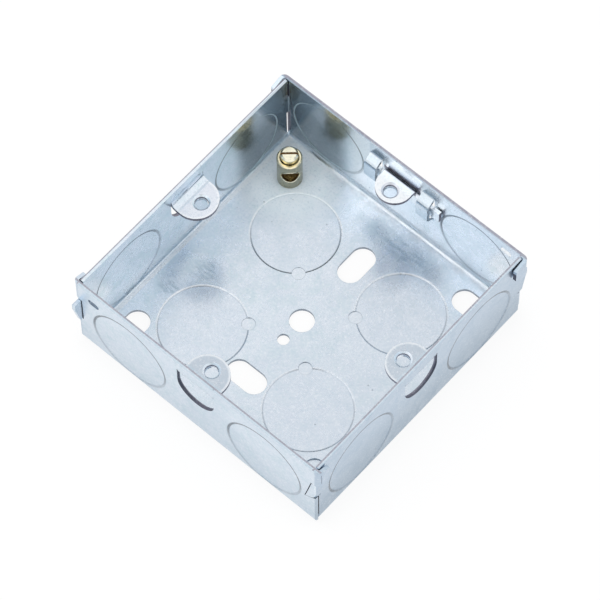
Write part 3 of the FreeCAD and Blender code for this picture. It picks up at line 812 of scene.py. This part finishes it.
def collarProfile():
    rootRadius, tipRadius = collars["outerRadius"]
    height, chamfer = collars["height"], collars["chamfer"]
    profile = [(rootRadius, 0.0), (tipRadius, -height * 0.5), (tipRadius, -height + chamfer),
               (tipRadius - chamfer, -height), (collars["boreRadius"], -height)]
    pitch = height / collars["threads"]
    for thread in reversed(range(collars["threads"])):
        profile.append((collars["boreRadius"] - collars["threadDepth"], -pitch * (thread + 0.5)))
        profile.append((collars["boreRadius"], -pitch * thread))
    return profile


def makeCollars(name, places, body):
    profile = collarProfile()
    work = bmesh.new()
    for placeX, placeY in places:
        middle = Vector((placeX, placeY, collars["top"]))
        rings = []
        for step in range(collars["steps"]):
            angle = 2 * math.pi * step / collars["steps"]
            out = Vector((math.cos(angle), math.sin(angle), 0))
            rings.append([work.verts.new((middle + out * radius + Vector((0, 0, height))) * mm)
                          for radius, height in profile])
        for here, there in zip(rings, rings[1:] + rings[:1]):
            for first in range(len(profile)):
                second = (first + 1) % len(profile)
                work.faces.new((here[first], there[first], there[second], here[second]))
    finishedPiece(name, work, lugZinc, body)


# Raised lip round both mouths of the post's wire hole
wireLip = {
    "holeRadius": 2.05,
    "holeHeight": 6.0,
    "width": 0.3,
    "height": 0.09,
    "offset": 0.12,              # of the ridge from the hole's edge
    "steps": 72,
}


def makeWireLip():
    work = bmesh.new()
    axis = Vector((box["post"][0], box["post"][1], wireLip["holeHeight"]))
    sideways, up = Vector((1, 1, 0)).normalized(), Vector((0, 0, 1))
    for sign in (1, -1):
        along = Vector((sign, -sign, 0)).normalized()
        points, outwards, sides = [], [], []
        for step in range(wireLip["steps"]):
            angle = 2 * math.pi * step / wireLip["steps"]
            away = sideways * math.cos(angle) + up * math.sin(angle)
            acrossPost = wireLip["holeRadius"] * math.cos(angle)
            out = along * math.sqrt(brass["postRadius"] ** 2 - acrossPost ** 2)
            points.append((axis + away * (wireLip["holeRadius"] + wireLip["offset"]) + out) * mm)
            outwards.append((sideways * acrossPost + out).normalized())
            sides.append(away)
        addRidge(work, points, outwards, sides, wireLip["width"] * mm, wireLip["height"] * mm, True)
    finishedPiece("wireHoleLip", work, screwBrass, "box")


makeShearLines()
makeCollars("fixedLugCollars", collars["fixed"], "box")
makeCollars("slidingLugCollar", collars["sliding"], "sliding lug")
makeWireLip()
print("shear lines, collars and wire hole's lip made")


# Camera at the photograph's viewing angle, for a square frame
cameraView = {
    "azimuth": 42.093,
    "elevation": 62.674,
    "roll": -0.83,
    "distance": 1010.678,        # millimetres
    "pixelsPerMm": 4.377,        # at the origin
    "framePixels": 600,
    "originX": 301.951,          # the part's origin in the frame
    "originY": 322.287,
    "sensor": 36.0,
    "clip": (0.05, 50.0),
}


def placeCamera():
    turn, rise, lean = [math.radians(cameraView[name]) for name in ("azimuth", "elevation", "roll")]
    level = Vector((math.cos(turn), math.sin(turn), 0))
    back = Vector((math.sin(turn) * math.cos(rise), -math.cos(turn) * math.cos(rise), math.sin(rise)))
    upright = back.cross(level)
    right = level * math.cos(lean) + upright * math.sin(lean)
    up = upright * math.cos(lean) - level * math.sin(lean)
    middle = cameraView["framePixels"] / 2
    scale = cameraView["pixelsPerMm"]
    asideX = (cameraView["originX"] - middle) / scale
    asideY = (middle - cameraView["originY"]) / scale
    place = (back * cameraView["distance"] - right * asideX - up * asideY) * mm
    data = bpy.data.cameras.new("camera")
    data.sensor_width = cameraView["sensor"]
    data.lens = cameraView["sensor"] * scale * cameraView["distance"] / cameraView["framePixels"]
    data.clip_start, data.clip_end = cameraView["clip"]
    camera = bpy.data.objects.new("camera", data)
    camera.matrix_world = Matrix.Translation(place) @ Matrix((right, up, back)).transposed().to_4x4()
    bpy.context.scene.collection.objects.link(camera)
    bpy.context.scene.camera = camera


# White floor that is clear from below, white surroundings and two soft boxes
studio = {
    "floorSize": 6.0,
    "floorDrop": 0.02,                         # millimetres below the box
    "floor": colour(0.96, 0.96, 0.965),
    "floorRoughness": 0.9,
    "floorGloss": 0.1,
    "floorGlow": 0.86,                         # share of plain white in the floor as seen and mirrored
    "surroundings": 1.0,
    "gapTowards": (0.307, -0.340, 0.889),      # unlit gap between the soft boxes
    "gapLight": 0.09,
    "gapEdges": (0.935, 0.98),                 # cosines of its outer and inner edge
    "softBoxes": [                             # place, size, power, and whether the metal mirrors it
        ("overheadBox", (-0.05, 0.05, 2.0), 0.5, 9.0, False),
        ("sideBox", (-0.42, -0.46, 1.02), 0.9, 0.9, True),
    ],
}


def makeSurroundings():
    world = bpy.data.worlds.new("surroundings")
    bpy.context.scene.world = world
    world.use_nodes = True
    bench = Bench(world.node_tree)
    bench.tree.nodes.clear()
    facing = bench.add("ShaderNodeVectorMath", {"operation": "DOT_PRODUCT"})
    bench.put(facing.inputs[0], bench.tree.nodes.new("ShaderNodeTexCoord").outputs["Generated"])
    bench.put(facing.inputs[1], studio["gapTowards"])
    strength = bench.fade(facing.outputs["Value"], *studio["gapEdges"], studio["surroundings"],
                          studio["gapLight"])
    light = bench.add("ShaderNodeBackground", Color=colour(1.0, 1.0, 1.0), Strength=strength)
    bench.put(bench.tree.nodes.new("ShaderNodeOutputWorld").inputs["Surface"], light.outputs[0])


def makeFloor():
    material, bench, shader = blankMaterial("paleFloor")
    shader.inputs["Base Color"].default_value = studio["floor"]
    shader.inputs["Roughness"].default_value = studio["floorRoughness"]
    shader.inputs["Specular IOR Level"].default_value = studio["floorGloss"]
    path = bench.tree.nodes.new("ShaderNodeLightPath").outputs
    seen = bench.largest(path["Is Camera Ray"], path["Is Glossy Ray"], path["Is Transmission Ray"])
    glow = bench.add("ShaderNodeEmission", Strength=1.0)
    lit = bench.mixShaders(bench.product(seen, studio["floorGlow"]), shader.outputs[0], glow.outputs[0])
    fromBelow = bench.tree.nodes.new("ShaderNodeNewGeometry").outputs["Backfacing"]
    clear = bench.tree.nodes.new("ShaderNodeBsdfTransparent")
    bench.put(bench.tree.nodes["Material Output"].inputs["Surface"],
              bench.mixShaders(fromBelow, lit, clear.outputs[0]))
    bpy.ops.mesh.primitive_plane_add(size=studio["floorSize"], location=(0, 0, -studio["floorDrop"] * mm))
    floor = bpy.context.object
    floor.name = "floor"
    floor.data.materials.append(material)


def makeSoftBoxes():
    for name, place, size, power, mirrored in studio["softBoxes"]:
        data = bpy.data.lights.new(name, "AREA")
        data.size = size
        data.energy = power
        lamp = bpy.data.objects.new(name, data)
        lamp.visible_glossy = mirrored
        lamp.location = place
        lamp.rotation_euler = (-Vector(place)).to_track_quat("-Z", "Y").to_euler()
        bpy.context.scene.collection.objects.link(lamp)


placeCamera()
makeSurroundings()
makeFloor()
makeSoftBoxes()
bpy.context.scene.view_settings.view_transform = "Standard"
print("camera and studio set")
